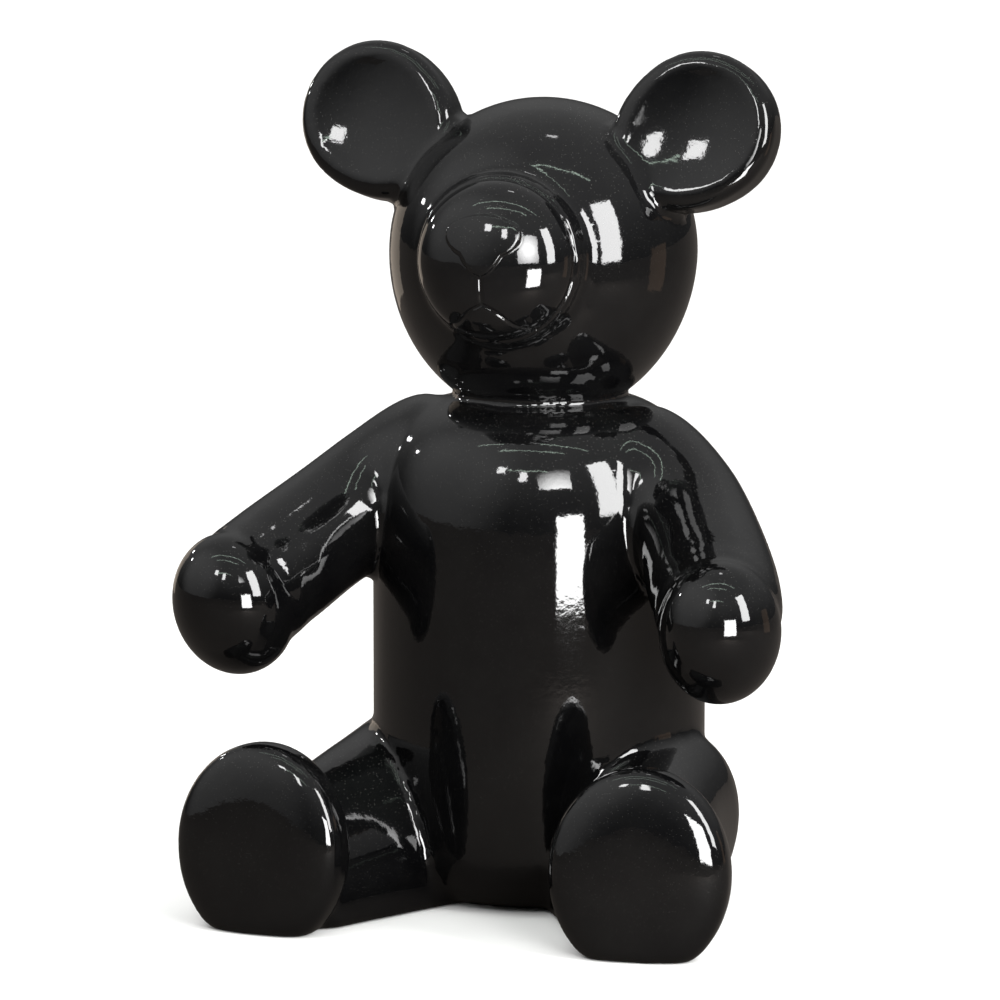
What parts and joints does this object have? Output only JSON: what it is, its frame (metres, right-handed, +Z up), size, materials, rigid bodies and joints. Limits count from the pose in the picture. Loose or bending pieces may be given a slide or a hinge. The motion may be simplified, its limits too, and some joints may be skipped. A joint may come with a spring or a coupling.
{
  "type": "bear sculpture",
  "caption": "Seated teddy bear sculpture in glossy black resin, with a round muzzle, round ears, open arms and broad round feet.",
  "frame": {"origin": "on the ground, at the middle of the flat disc that the torso rests on", "axes": "+Z up; the bear faces -Y; +X is the bear's left side"},
  "size_m": [0.4374, 0.3431, 0.6],
  "materials": {
    "lacquered_resin": "black resin under a high-gloss clear lacquer"
  },
  "bodies": {
    "root": {"bear": "lacquered_resin"}
  },
  "joints": []
}
